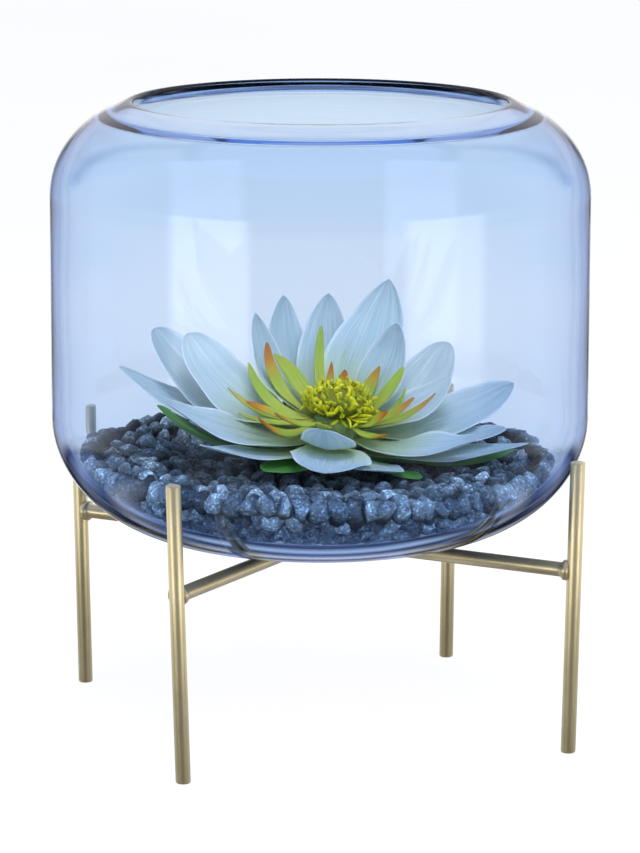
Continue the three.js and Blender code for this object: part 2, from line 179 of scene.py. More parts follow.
SEPALS = leaf_row(
    "sepal_",
    Root(9.8, -5, 7),
    ("right", 353, 67, 5.4, 22, 2.5, 0.1, 12, 0, 0.9),
    ("left", 190, 68, 6.4, 24, 6.4, 0.05, -4, 0, 0.6),
    ("front_left", 242, 52, -6.2, 20, 0.4, 0.06, 0, 0, 0.5),
    ("front_right", 305, 54, -2.8, 18, 0.6, 0.04, 0, 0, 0.5),
    ("back", 96, 56, 10, 20, 4, 0.1, 0, 0, 0.5),
)
OUTER_PETALS = leaf_row(
    "petal_outer_",
    Root(9.6, -3, 5.4),
    ("far_left", 174, 84, 15, 26, 5.4, 0.14, -8, 0, 0.4),
    ("front_left", 227, 72, 2.6, 24, 3.2, 0.08, 0, 0, 0.2),
    ("front", 293, 58, 1.2, 21, 2.2, 0.08, 0, 0, 0.3),
    ("right", 341, 74, 12, 23, 4, 0.14, 8, 0, 0.3),
    ("back_right", 45, 54, 35, 27, 8, 0.18, 8, -1.5, 1),
    ("back", 85, 56, 24, 24, 7, 0.16, 0, 0, 0.4),
    ("back_left", 123, 45, 45.5, 22.2, 8.2, 0.2, 0, 1, 0.5),
)
SECOND_PETALS = leaf_row(
    "petal_second_",
    Root(9.2, -0.6, 5.2),
    ("left", 161.4, 77.4, 28.4, 30.2, 8.4, 0.26, -22, -2, 1),
    ("front_left", 206, 70.5, 11.8, 30, 5.4, 0.18, -12, 0, 0.6),
    ("front", 266, 56, -2, 31, 0.4, 0.15, 0, 0, 0.9),
    ("right", 352, 63, 13.5, 20, 3.2, 0.16, 8, 0, 0.8),
    ("back", 101, 43, 47.5, 24, 8, 0.22, 0, 0, 0.4),
)
THIRD_PETALS = leaf_row(
    "petal_third_",
    Root(8.8, 1.8, 5),
    ("left", 168, 61, 30.5, 30.6, 8, 0.2, -26, 0, 1),
    ("front_right", 322, 63, 14, 27, 4.6, 0.2, 14, 0, 0.8),
    ("right", 10, 66, 26.5, 28, 5.6, 0.18, 22, 0, 0.5),
    ("back_right", 76, 42, 56, 32, 8, 0.22, 8, -4, 0.2),
)
INNER_PETALS = leaf_row(
    "petal_inner_",
    Root(9, 4.2, 3.8),
    ("back_left", 147, 42, 40, 23, 7, 0.2, -2, 0, 0.2),
    ("front", 262, 37, 10, 21, 6, 0.26, 0, 0, 1),
    ("right", 13, 42, 26, 19, 4, 0.18, 20, 0, 0.6),
    ("back_right", 50, 29, 43, 22, 6, 0.22, 8, 0, 0.3),
)
# Narrow leaves between petal and stamen.
PETALOIDS = leaf_row(
    "petaloid_",
    Root(9.8, 6.6, 1.4),
    ("back", 119, 20.4, 39, 4.4, 2.8, 0.2, 0, 0, 0.7, 0.0),
    ("back_left_tall", 160, 31.4, 31.2, 5, 5, 0.2, -50, 0, 0.7, 0.9),
    ("back_left_curled", 142, 31, 26, 6.8, -1.2, 0.2, -45, 3, 0.3, 0.1),
    ("left_high", 177, 35.5, 24, 5.2, 5.6, 0.2, -45, 0, 0.6, 0.0),
    ("left_thin", 188.5, 42.4, 15, 4, 4, 0.2, -45, 0, 0, 0.4),
    ("left_low", 200, 36.6, 11.9, 4, 1.2, 0.2, -40, 0, 0.8, 0.9),
    ("left_front", 211, 43, 9.2, 3, 2, 0.2, -30, 0, 0.1, 0.2),
    ("front_left_curled", 222.6, 40, 9.6, 4.6, 5, 0.2, -25, 0, 1, 1.0),
    ("front_left_short", 233.5, 40, 13, 4.6, 2, 0.2, -20, 0, 0.8, 0.8),
    ("front", 252, 24, 9.5, 6, 1.4, 0.2, 0, 0, 0.6, 0.1),
    ("front_right", 307, 30.2, 9, 5, 2.2, 0.2, 15, 0, 0.2, 0.9),
    ("front_right_broad", 320, 23, 15, 6, 1.2, 0.2, 40, 0, 1, 1.0),
    ("right_front", 336, 29.5, 21, 4.4, 2, 0.2, 40, 0, 0.9, 0.9),
    ("right_long", 349, 35.5, 22.6, 3.8, 3.4, 0.2, 40, 0, 0, 0.8),
    ("right_thin", 3, 24, 22, 3.1, 4, 0.2, 30, 0, 0, 0.0),
    ("right_high", 17, 23.6, 28.6, 4.4, 1, 0.2, 50, 0, 0.8, 0.0),
    ("back_right", 56, 22, 26, 6.4, 1.6, 0.2, 20, -2, 0, 0.7),
    ("back_blunt", 86, 17, 22.8, 4, 1.8, 0.2, 0, 0, 1, 1.0),
    ("back_short", 103, 18.6, 25, 4, 2, 0.2, 0, 0, 0.1, 0.9),
)


# ---------------- material helpers
def new_material(name):
    material = bpy.data.materials.new(name)
    material.use_nodes = True
    material.node_tree.nodes.clear()
    return material, material.node_tree


def add_node(tree, kind, inputs=None, **settings):
    """A shader node with its settings, and its inputs set to values or joined to other nodes' outputs."""
    made = tree.nodes.new("ShaderNode" + kind)
    for key, value in settings.items():
        setattr(made, key, value)
    for key, value in (inputs or {}).items():
        if isinstance(value, bpy.types.NodeSocket):
            tree.links.new(value, made.inputs[key])
        else:
            made.inputs[key].default_value = value
    return made


def mixed(tree, factor, first, second, blend="MIX"):
    """Two colours mixed. The node's inputs 6 and 7 and its output 2 are those for colours."""
    inputs = {0: factor, 6: first, 7: second}
    return add_node(tree, "Mix", inputs, data_type="RGBA", blend_type=blend).outputs[2]


def multiplied(tree, first, second):
    return mixed(tree, 1.0, first, second, "MULTIPLY")


def ramp(tree, factor, *stops):
    """A colour ramp. Each stop is a place from 0 to 1 and a colour or a grey."""
    made = add_node(tree, "ValToRGB", {"Fac": factor})
    elements = made.color_ramp.elements
    while len(elements) < len(stops):
        elements.new(0.5)
    for element, (place, colour) in zip(elements, stops):
        element.position = place
        element.color = colour if isinstance(colour, tuple) else (colour, colour, colour, 1)
    return made.outputs["Color"]


def noise(tree, vector, scale, detail=4, roughness=0.55):
    inputs = {"Vector": vector, "Scale": scale, "Detail": detail, "Roughness": roughness}
    return add_node(tree, "TexNoise", inputs).outputs["Fac"]


def maths(tree, operation, first, second=0.0, clamp=False):
    made = add_node(tree, "Math", {0: first, 1: second}, operation=operation, use_clamp=clamp)
    return made.outputs[0]


def bump(tree, height, strength, distance):
    made = add_node(tree, "Bump", {"Height": height, "Strength": strength, "Distance": distance})
    return made.outputs["Normal"]


def finished(material, surface, volume=None):
    output = add_node(material.node_tree, "OutputMaterial", {"Surface": surface})
    if volume:
        material.node_tree.links.new(volume, output.inputs["Volume"])
    return material


def object_point(tree):
    return add_node(tree, "TexCoord").outputs["Object"]


def axes(tree, vector):
    return add_node(tree, "SeparateXYZ", {"Vector": vector}).outputs


def attribute(tree, name):
    return add_node(tree, "Attribute", attribute_name=name).outputs["Fac"]


def principled(tree, inputs):
    return add_node(tree, "BsdfPrincipled", inputs).outputs[0]


# ---------------- materials
def glass_material():
    """Clear glass, tinted blue through its thickness. It lets lamps light what is in the bowl."""
    material, tree = new_material("pale_blue_glass")
    inputs = {
        "Base Color": (1, 1, 1, 1),
        "Roughness": 0.0,
        "IOR": 1.47,
        "Transmission Weight": 1.0,
        "Normal": bump(tree, noise(tree, object_point(tree), 14, 1), 0.03, 0.004),
    }
    glass = principled(tree, inputs)
    clear = add_node(tree, "BsdfTransparent", {"Color": (0.93, 0.96, 1, 1)}).outputs[0]
    path = add_node(tree, "LightPath").outputs
    light_only = maths(tree, "MAXIMUM", path["Is Shadow Ray"], path["Is Diffuse Ray"])
    surface = add_node(tree, "MixShader", {0: light_only, 1: glass, 2: clear}).outputs[0]
    tint = add_node(tree, "VolumeAbsorption", {"Color": (0.18, 0.51, 0.92, 1), "Density": 94.0})
    return finished(material, surface, tint.outputs[0])


def brass_material():
    """Satin brass with a fine brushed grain and slight clouds in its colour."""
    material, tree = new_material("satin_brass")
    point = object_point(tree)
    grain_point = add_node(tree, "Mapping", {"Vector": point, "Scale": (900, 900, 60)}).outputs[0]
    grain = noise(tree, grain_point, 1, 3)
    clouds = noise(tree, point, 60)
    colour = ramp(tree, clouds, (0.3, (0.82, 0.69, 0.38, 1)), (0.7, (0.94, 0.8, 0.48, 1)))
    roughness = maths(tree, "ADD", maths(tree, "MULTIPLY", grain, 0.14), 0.28)
    normal = bump(tree, grain, 0.12, 0.0004)
    inputs = {"Base Color": colour, "Metallic": 0.89, "Roughness": roughness, "Normal": normal}
    return finished(material, principled(tree, inputs))


def stone_material():
    """Crushed slate-blue stone: each stone's own tone darkened by painted shade, a rough skin, pale
    crystals painted bright as glints, painted shade in the gaps and painted light on faces towards the
    open.
    """
    material, tree = new_material("slate_gravel")
    point = object_point(tree)
    # each stone's own tone, with painted shade low in the pile and under the flower
    own = ramp(
        tree,
        attribute(tree, "shade"),
        (0.0, (0.05, 0.062, 0.068, 1)),
        (0.35, (0.155, 0.185, 0.195, 1)),
        (0.7, (0.39, 0.45, 0.44, 1)),
        (1.0, (0.66, 0.73, 0.69, 1)),
    )
    blotches = noise(tree, point, 420, 6, 0.7)
    mottled = multiplied(tree, own, ramp(tree, blotches, (0.35, 0.55), (0.65, 1.4)))
    # pale crystal specks; the brightest are painted past white as glints
    crystals = add_node(tree, "TexVoronoi", {"Vector": point, "Scale": 1300.0})
    own_grey = axes(tree, crystals.outputs["Color"])["X"]
    glint = ramp(tree, own_grey, (0.0, 0.65), (0.75, 1.0), (1.0, 2.2))
    glinting = multiplied(tree, mottled, glint)
    # painted shade on the stone faces turned into the gaps, painted light on those facing the open
    gap_shade_and_open_light = ramp(tree, attribute(tree, "open"), (0.45, 0.08), (0.75, 0.8), (1.0, 1.4))
    colour = multiplied(tree, glinting, gap_shade_and_open_light)
    skin = noise(tree, point, 900, 5, 0.75)
    rough = maths(tree, "ADD", skin, maths(tree, "MULTIPLY", blotches, 1.2))
    normal = bump(tree, rough, 1.0, 0.0009)
    return finished(material, principled(tree, {"Base Color": colour, "Roughness": 0.6, "Normal": normal}))


def leaf_coordinates(tree):
    """Places across a leaf and along it from root to tip, from 0 to 1, and the leaf's own number."""
    parts = axes(tree, add_node(tree, "UVMap", uv_map="leaf").outputs[0])
    return parts["X"], parts["Y"], attribute(tree, "variety")


def off_middle(tree, across):
    """How far a place is off the leaf's middle line: 0.5 at its edges."""
    return maths(tree, "ABSOLUTE", maths(tree, "SUBTRACT", across, 0.5))


def ragged(tree, along, streaks, amount):
    """The place along a leaf, shifted by its streaks so that colours end raggedly."""
    shift = maths(tree, "MULTIPLY", maths(tree, "SUBTRACT", streaks, 0.5), amount)
    return maths(tree, "ADD", along, shift)


def vein_noise(tree, across, along, variety, lines):
    """Streaks that run from root to tip."""
    scaled = {
        "X": maths(tree, "MULTIPLY", across, lines),
        "Y": maths(tree, "MULTIPLY", along, 1.6),
        "Z": maths(tree, "MULTIPLY", variety, 37.0),
    }
    return noise(tree, add_node(tree, "CombineXYZ", scaled).outputs[0], 1, 3, 0.6)


def thin_leaf_shader(tree, colour, roughness, normal, glow, translucent_share, sheen=0.0):
    """A soft leaf surface that lets some light through from behind."""
    front = principled(
        tree, {"Base Color": colour, "Roughness": roughness, "Sheen Weight": sheen, "Normal": normal}
    )
    through = add_node(tree, "BsdfTranslucent", {"Color": glow, "Normal": normal}).outputs[0]
    return add_node(tree, "MixShader", {0: translucent_share, 1: front, 2: through}).outputs[0]


def petal_material():
    """White petal: fine veins, cool patches, a painted highlight along its rim and yellow-green at the
    base.
    """
    material, tree = new_material("lily_petal")
    across, along, variety = leaf_coordinates(tree)
    fine = vein_noise(tree, across, along, variety, 70)
    broad = vein_noise(tree, across, along, variety, 12)
    patches = noise(tree, object_point(tree), 45, 3)
    white = ramp(tree, broad, (0.3, (0.74, 0.85, 0.83, 1)), (0.7, (0.97, 0.99, 0.94, 1)))
    veined = mixed(tree, ramp(tree, fine, (0.36, 0.75), (0.55, 0.0)), white, (0.54, 0.7, 0.69, 1))
    shaded = mixed(tree, ramp(tree, patches, (0.35, 0.35), (0.65, 0.0)), veined, (0.6, 0.76, 0.8, 1))
    # painted highlight: a white band along the petal's edges
    rim_highlight_share = ramp(tree, off_middle(tree, across), (0.44, 0.0), (0.485, 1.0))
    rim_highlighted = mixed(tree, rim_highlight_share, shaded, (0.99, 1.0, 1.0, 1))
    base_share = ramp(tree, ragged(tree, along, broad, 0.3), (0.06, 0.95), (0.3, 0.5), (0.62, 0.0))
    based = mixed(tree, base_share, rim_highlighted, (0.68, 0.78, 0.24, 1))
    ridges = maths(tree, "ADD", fine, maths(tree, "MULTIPLY", broad, 0.8))
    surface = thin_leaf_shader(tree, based, 0.55, bump(tree, ridges, 0.9, 0.0006), based, 0.35, 0.1)
    return finished(material, surface)


def sepal_material():
    """Green leaf with a paler midrib and edge."""
    material, tree = new_material("lily_sepal")
    across, along, variety = leaf_coordinates(tree)
    fine = vein_noise(tree, across, along, variety, 46)
    broad = vein_noise(tree, across, along, variety, 7)
    green = ramp(tree, broad, (0.3, (0.04, 0.2, 0.015, 1)), (0.7, (0.12, 0.38, 0.04, 1)))
    pale_share = ramp(tree, off_middle(tree, across), (0.0, 0.5), (0.06, 0.0), (0.4, 0.0), (0.5, 0.6))
    edged = mixed(tree, pale_share, green, (0.24, 0.42, 0.14, 1))
    colour = mixed(tree, ramp(tree, fine, (0.4, 0.35), (0.55, 0.0)), edged, (0.03, 0.1, 0.025, 1))
    surface = thin_leaf_shader(tree, colour, 0.6, bump(tree, fine, 0.4, 0.0004), (0.2, 0.45, 0.06, 1), 0.12)
    return finished(material, surface)


def petaloid_material():
    """Fleshy yellow-green leaf whose tip can turn orange, by the leaf's own amount."""
    material, tree = new_material("lily_petaloid")
    across, along, variety = leaf_coordinates(tree)
    fine = vein_noise(tree, across, along, variety, 16)
    green = ramp(tree, fine, (0.3, (0.36, 0.5, 0.03, 1)), (0.7, (0.62, 0.68, 0.09, 1)))
    yellow = mixed(tree, ramp(tree, along, (0.0, 0.8), (0.6, 0.0)), green, (0.75, 0.68, 0.12, 1))
    reach = ragged(tree, along, fine, 0.35)
    tip = ramp(tree, reach, (0.55, 0.0), (0.82, 1.0))
    tip = maths(tree, "MULTIPLY", tip, attribute(tree, "orange"), clamp=True)
    burnt = ramp(tree, reach, (0.7, (0.85, 0.3, 0.02, 1)), (1.0, (0.6, 0.13, 0.01, 1)))
    colour = mixed(tree, tip, yellow, burnt)
    surface = thin_leaf_shader(tree, colour, 0.45, bump(tree, fine, 0.5, 0.0004), colour, 0.15)
    return finished(material, surface)


def stamen_material():
    """Waxy olive-yellow filaments, each with its own shade."""
    material, tree = new_material("lily_stamen")
    point = object_point(tree)
    own = ramp(
        tree,
        attribute(tree, "shade"),
        (0.0, (0.24, 0.23, 0.002, 1)),
        (0.5, (0.62, 0.58, 0.005, 1)),
        (1.0, (0.96, 0.84, 0.015, 1)),
    )
    mottling = ramp(tree, noise(tree, point, 900), (0.3, 0.7), (0.7, 1.2))
    inputs = {
        "Base Color": multiplied(tree, own, mottling),
        "Roughness": 0.5,
        "Subsurface Weight": 0.1,
        "Subsurface Scale": 0.001,
        "Normal": bump(tree, noise(tree, point, 1500, 3), 0.4, 0.0003),
    }
    return finished(material, principled(tree, inputs))


def receptacle_material():
    """Pale green flesh."""
    material, tree = new_material("lily_receptacle")
    flesh = noise(tree, object_point(tree), 220)
    colour = ramp(tree, flesh, (0.3, (0.2, 0.32, 0.07, 1)), (0.7, (0.45, 0.52, 0.16, 1)))
    normal = bump(tree, flesh, 0.5, 0.0005)
    return finished(material, principled(tree, {"Base Color": colour, "Roughness": 0.6, "Normal": normal}))


def floor_material():
    """A matt surface that its own glow makes as white as a lit studio sweep."""
    material, tree = new_material("pale_floor")
    grain = noise(tree, object_point(tree), 3, 3)
    inputs = {
        "Base Color": ramp(tree, grain, (0.3, 0.15), (0.7, 0.17)),
        "Roughness": 0.9,
        "Specular IOR Level": 0.0,
        "Emission Color": (1, 1, 1, 1),
        "Emission Strength": 0.9,
    }
    return finished(material, principled(tree, inputs))


# ---------------- mesh helpers
def linked_object(name, data):
    made = bpy.data.objects.new(name, data)
    bpy.context.scene.collection.objects.link(made)
    return made


def mesh_object(name, points, faces, material, place=None, smooth=True):
    """An object whose mesh is made of points in millimetres. place moves them into the frame."""
    mesh = bpy.data.meshes.new(name)
    mesh.from_pydata([tuple(point) for point in points], [], [tuple(face) for face in faces])
    mesh.validate()
    mesh.transform(Matrix.Scale(MM, 4) @ (place or Matrix.Identity(4)))
    mesh.polygons.foreach_set("use_smooth", [smooth] * len(mesh.polygons))
    mesh.materials.append(material)
    return linked_object(name, mesh)


def point_attribute(piece, name, values):
    """A number for each of the piece's points, which its material reads."""
    made = piece.data.attributes.new(name, "FLOAT", "POINT")
    made.data.foreach_set("value", np.asarray(values, np.float32))


def stand_for(piece, slot, *nodes):
    """The piece takes the place of the frame's nodes."""
    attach(piece, "root")
    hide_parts(*nodes)


def lathe(profile, segments):
    """Points and faces of a profile of (radius, height) turned about Z. Its two ends are on the axis."""
    angles = np.linspace(0, 2 * math.pi, segments, endpoint=False)
    points = [(0, 0, profile[0][1])]
    for radius, height in profile[1:-1]:
        points += [(radius * math.cos(a), radius * math.sin(a), height) for a in angles]
    points.append((0, 0, profile[-1][1]))
    rings = len(profile) - 2

    def at(ring, j):
        return 1 + ring * segments + j % segments

    faces = []
    for j in range(segments):
        faces.append((0, at(0, j + 1), at(0, j)))
        faces.append((len(points) - 1, at(rings - 1, j), at(rings - 1, j + 1)))
        for ring in range(rings - 1):
            faces.append((at(ring, j), at(ring, j + 1), at(ring + 1, j + 1), at(ring + 1, j)))
    return points, faces


def corner_points(corner, first, last, steps):
    """Points of a quarter ellipse from one angle round its centre to another."""
    return [
        (corner.r + corner.across * math.cos(a), corner.z + corner.high * math.sin(a))
        for a in np.linspace(first, last, steps)
    ]


def smooth_step(x):
    """A smooth rise from 0 to 1 while x goes from 0 to 1."""
    x = np.clip(x, 0, 1)
    return x * x * (3 - 2 * x)


# ---------------- the glass bowl
def rim_points(under_rim):
    """The lip: it rises smoothly from the shoulder and turns down round the opening."""
    lip_radius = LIP_THICKNESS / 2
    top_radius = OPENING_RADIUS + lip_radius
    start_radius = SHOULDER.r + SHOULDER.across * math.cos(under_rim)
    drop = BOWL_TOP - SHOULDER.z - SHOULDER.high * math.sin(under_rim)
    start_slope = SHOULDER.high / SHOULDER.across / math.tan(under_rim)
    rise = [
        (
            start_radius + (top_radius - start_radius) * t,
            BOWL_TOP
            - drop * (2 * t**3 - 3 * t**2 + 1)
            + start_slope * (start_radius - top_radius) * (t**3 - 2 * t**2 + t),
        )
        for t in np.linspace(0.15, 1, 7)
    ]
    fall = [
        (top_radius + lip_radius * math.cos(a), BOWL_TOP - lip_radius + lip_radius * math.sin(a))
        for a in np.linspace(math.pi / 2, math.pi, 8)[1:]
    ]
    return rise + fall


def bead_points(shoulder_inside):
    """The underside of the beaded lip, from the opening to the shoulder."""
    lip_inset = 0.8
    ease = 5
    first, second = (np.array(point) for point in shoulder_inside[:2])
    lip = np.array([OPENING_RADIUS + lip_inset, BOWL_TOP - LIP_THICKNESS])
    along = second - first
    bend = first - along / np.linalg.norm(along) * ease
    points = []
    for t in np.linspace(0, 1, 15, endpoint=False):
        radius, height = (1 - t) ** 2 * lip + 2 * t * (1 - t) * bend + t * t * first
        points.append((radius, height - BEAD_DEPTH * math.sin(math.pi * t)))
    return points


def wall_inside_points():
    """The wall's inside from the shoulder down to the base corner, thinnest half way."""
    points = []
    for t in np.linspace(0, 1, 24)[1:-1]:
        swell = WALL_SWELL * (0.5 + 0.5 * math.cos(2 * math.pi * t))
        points.append((INNER_RADIUS - swell, SHOULDER.z + (BASE_CORNER.z - SHOULDER.z) * t))
    return points


def glass_bowl():
    """The bowl's profile, up its outside, over the lip and down its inside, turned about Z."""
    quarter = math.pi / 2
    seam = 0.03  # keeps two neighbouring corners' ends apart
    under_rim = math.acos((OPENING_RADIUS + LIP_RISE_WIDTH - SHOULDER.r) / SHOULDER.across)
    under_rim_inside = math.acos((OPENING_RADIUS + BEAD_WIDTH - SHOULDER.r) / SHOULDER_INSIDE.across)
    shoulder_inside = corner_points(SHOULDER_INSIDE, under_rim_inside, 0, 20)
    profile = [
        (0, BOWL_BOTTOM),
        (BASE_FLAT_RADIUS / 2, BOWL_BOTTOM),
        *corner_points(BASE_CORNER, -quarter, 0, 30),
        *corner_points(SHOULDER, seam, under_rim, 22),
        *rim_points(under_rim),
        *bead_points(shoulder_inside),
        *shoulder_inside,
        *wall_inside_points(),
        *corner_points(BASE_CORNER_INSIDE, -seam, -quarter, 30),
        (FLOOR_FLAT_RADIUS / 2, BOWL_FLOOR),
        (0, BOWL_FLOOR),
    ]
    points, faces = lathe(profile, BOWL_SEGMENTS)
    piece = mesh_object("bowl_glass", points, faces, glass_material())
    stand_for(piece, "glass", "glass_bowl")


# ---------------- the brass stand
Leg = namedtuple("Leg", "name azimuth foot_aside")
LEGS = [
    Leg("leg_back_right", 45, 0),
    Leg("leg_back_left", 135, 0),
    Leg("leg_front_left", 225, 2.2),
    Leg("leg_front_right", 315, 0),
]


def rod(near_end, far_end, length):
    """Points and faces of a rod along Z, from the profiles of its two ends."""
    far = [(radius, length - z) for radius, z in reversed(far_end)]
    return lathe(near_end + far, ROD_SEGMENTS)


def leg_piece(leg, material):
    """An upright rod that leans outwards. Its foot can stand aside of its top."""
    flat = ROD_RADIUS - ROD_CHAMFER
    rounding = ROD_CHAMFER * 0.3
    end = [(0, 0), (flat, 0), (ROD_RADIUS - rounding, rounding), (ROD_RADIUS, ROD_CHAMFER)]
    points, faces = rod(end, end, LEG_HEIGHT)
    outwards = (LEG_TOP_CIRCLE - LEG_FOOT_CIRCLE) / LEG_HEIGHT
    aside = -leg.foot_aside / LEG_HEIGHT
    slanted = [
        (x + LEG_FOOT_CIRCLE + outwards * z, y + leg.foot_aside + aside * z, z) for x, y, z in points
    ]
    piece = mesh_object("stand_" + leg.name, slanted, faces, material, turned_to(leg.azimuth))
    stand_for(piece, "brass", leg.name)


def bar_piece(name, node, azimuth, start, end, material):
    """A crossbar along its azimuth, welded to a leg at its end, and at its start if that is below 0."""
    plain = [(0, 0), (ROD_RADIUS, 0)]
    welded = [(0, 0), (ROD_RADIUS + WELD_WIDTH, 0)]
    for a in np.linspace(0, math.pi / 2, 6):
        radius = ROD_RADIUS + WELD_WIDTH * (1 - math.sin(a))
        welded.append((radius, WELD_COLLAR_LENGTH + WELD_FILLET_LENGTH * (1 - math.cos(a))))
    points, faces = rod(welded if start < 0 else plain, welded, end - start)
    place = (
        turned_to(azimuth)
        @ Matrix.Translation((start, 0, BAR_HEIGHT))
        @ Matrix.Rotation(math.radians(90), 4, "Y")
    )
    stand_for(mesh_object(name, points, faces, material, place), "brass", node)


def brass_stand():
    """Four legs, the long crossbar, and the two half ones that end in it."""
    material = brass_material()
    for leg in LEGS:
        leg_piece(leg, material)
    leg_circle = LEG_FOOT_CIRCLE + (LEG_TOP_CIRCLE - LEG_FOOT_CIRCLE) * BAR_HEIGHT / LEG_HEIGHT
    outer_end = leg_circle - ROD_RADIUS + BAR_INTO_LEG
    crossing = ROD_RADIUS - HALF_BAR_INTO_LONG_BAR
    bar_piece("stand_crossbar_long", "crossbar_long", 45, -outer_end, outer_end, material)
    bar_piece("stand_crossbar_left", "crossbar_half_left", 135, crossing, outer_end, material)
    bar_piece("stand_crossbar_right", "crossbar_half_right", 315, crossing, outer_end, material)


# ---------------- the gravel
def gravel_top(radius, angle):
    """Height of the gravel: a shallow, lumpy hollow inside a crest that is lower at one side."""
    crest = smooth_step((radius - GRAVEL_HOLLOW_RADIUS) / (GRAVEL_CREST_RADIUS - GRAVEL_HOLLOW_RADIUS))
    lumps = 0.5 * np.sin(5 * angle + 1.3 * radius) + 0.4 * np.sin(11 * angle - 0.7 * radius)
    crest_top = GRAVEL_CREST_TOP - GRAVEL_LOW_SIDE * np.maximum(0, np.cos(angle + math.radians(15)))
    return GRAVEL_HOLLOW_TOP + (crest_top - GRAVEL_HOLLOW_TOP) * crest + lumps


def top_over(centres):
    """Height of the gravel over each stone."""
    return gravel_top(np.hypot(centres[:, 0], centres[:, 1]), np.arctan2(centres[:, 1], centres[:, 0]))


def inside_glass(points, clearance):
    """The points, with any that come closer to the glass than the clearance moved back."""
    corner = BASE_CORNER_INSIDE
    points = points.copy()
    radius = np.hypot(points[:, 0], points[:, 1])
    out = (radius - corner.r) / (corner.across - clearance)
    down = (corner.z - points[:, 2]) / (corner.high - clearance)
    share = np.hypot(np.maximum(out, 0), np.maximum(down, 0))
    over = share > 1
    new_out = np.where(out > 0, out / np.maximum(share, 1), out)
    new_radius = corner.r + new_out * (corner.across - clearance)
    new_height = corner.z - down / np.maximum(share, 1) * (corner.high - clearance)
    scale = np.where(over & (radius > 1e-6), new_radius / np.maximum(radius, 1e-6), 1)
    points[:, 0] *= scale
    points[:, 1] *= scale
    points[:, 2] = np.where(over, new_height, points[:, 2])
    return points


def settled_centres(rng, count, spacing):
    """Centres of loose stones: spread at random under the gravel's top, then pushed apart."""
    push_share = 0.22
    under_top = 0.42 * spacing
    off_glass = 0.5 * spacing
    radius = GRAVEL_RADIUS * np.sqrt(rng.random(count))
    angle = 2 * math.pi * rng.random(count)
    height = BOWL_FLOOR + (GRAVEL_CREST_TOP - BOWL_FLOOR) * rng.random(count)
    centres = np.stack([radius * np.cos(angle), radius * np.sin(angle), height], axis=1)
    for _ in range(SETTLING_ROUNDS):
        apart = centres[:, None, :] - centres[None, :, :]
        distance = np.sqrt((apart**2).sum(-1)) + 1e-6
        push = np.clip(spacing - distance, 0, None) / distance
        np.fill_diagonal(push, 0)
        centres = centres + push_share * (apart * push[:, :, None]).sum(1)
        centres[:, 2] = np.minimum(centres[:, 2], top_over(centres) - under_top)
        centres = inside_glass(centres, off_glass)
    return centres


def unit_vectors(rng, count):
    """Directions spread evenly at random."""
    vectors = rng.normal(size=(count, 3))
    return vectors / np.linalg.norm(vectors, axis=1, keepdims=True)


def stone_shapes(rng, subdivisions):
    """Unit stones: balls with flat chips broken off them, slightly rough all over."""
    ball = bmesh.new()
    bmesh.ops.create_icosphere(ball, subdivisions=subdivisions, radius=1)
    points = np.array([vertex.co for vertex in ball.verts])
    faces = np.array([[vertex.index for vertex in face.verts] for face in ball.faces])
    ball.free()
    shapes = []
    for _ in range(STONE_KINDS):
        stone = points * rng.uniform(0.82, 1.18, 3)
        for normal in unit_vectors(rng, STONE_CHIPS):
            beyond = np.clip(stone @ normal - rng.uniform(0.5, 0.84), 0, None)
            stone = stone - beyond[:, None] * normal
        stone += rng.normal(scale=0.02, size=stone.shape)
        shapes.append(stone - stone.mean(0))
    return shapes, faces


def outward_of(centres):
    """Which way each stone faces the open: up under the pile's top, and towards the glass beside it."""
    corner = BASE_CORNER_INSIDE
    radius = np.hypot(centres[:, 0], centres[:, 1])
    out = np.maximum(radius - corner.r, 0) / corner.across
    down = np.minimum(centres[:, 2] - corner.z, 0) / corner.high
    steep = np.stack([centres[:, 0] / radius * out, centres[:, 1] / radius * out, down], axis=1)
    depth_in = (1 - np.hypot(out, down)) * corner.high
    near_top = np.exp((centres[:, 2] - top_over(centres)) / STONE_SPACING)
    near_glass = np.exp(-depth_in / STONE_SPACING)
    outward = near_top[:, None] * np.array([0, 0, 1]) + near_glass[:, None] * steep
    return outward / np.linalg.norm(outward, axis=1, keepdims=True)


def gravel_pile(name, rng, centres, sizes, subdivisions, material):
    """One mesh of many stones, each turned its own way and pressed back where it would cross the glass.
    The attribute shade is each stone's own tone with painted shade low in the pile and under the flower,
    and open is how far each point of it faces the open, for painted shade in the gaps and painted light on
    faces towards the open."""
    shapes, shape_faces = stone_shapes(rng, subdivisions)
    points = []
    faces = []
    shades = []
    opens = []
    for index, (centre, size, outward) in enumerate(zip(centres, sizes, outward_of(centres))):
        turn = Quaternion(rng.normal(size=4)).normalized().to_matrix()
        turned = shapes[index % len(shapes)] @ np.array(turn)
        stone = turned * size + centre
        faces.append(shape_faces + index * len(stone))
        points.append(stone)
        # painted shade: stones deep in the pile and under the flower get darker colours
        rise = smooth_step((centre[2] - BOWL_FLOOR) / PAINTED_SHADE_DEPTH)
        lit = DEEPEST_BRIGHTNESS + (1 - DEEPEST_BRIGHTNESS) * rise
        if math.hypot(centre[0], centre[1]) < SHADED_RADIUS:
            lit *= SHADED_BRIGHTNESS
        shades += [rng.beta(1.8, 1.6) * lit] * len(stone)
        opens.append(0.5 + 0.5 * turned @ outward)
    points = inside_glass(np.concatenate(points), STONE_CLEARANCE)
    piece = mesh_object(name, points, np.concatenate(faces), material, planting_place, smooth=False)
    point_attribute(piece, "shade", shades)
    point_attribute(piece, "open", np.concatenate(opens))
    return piece


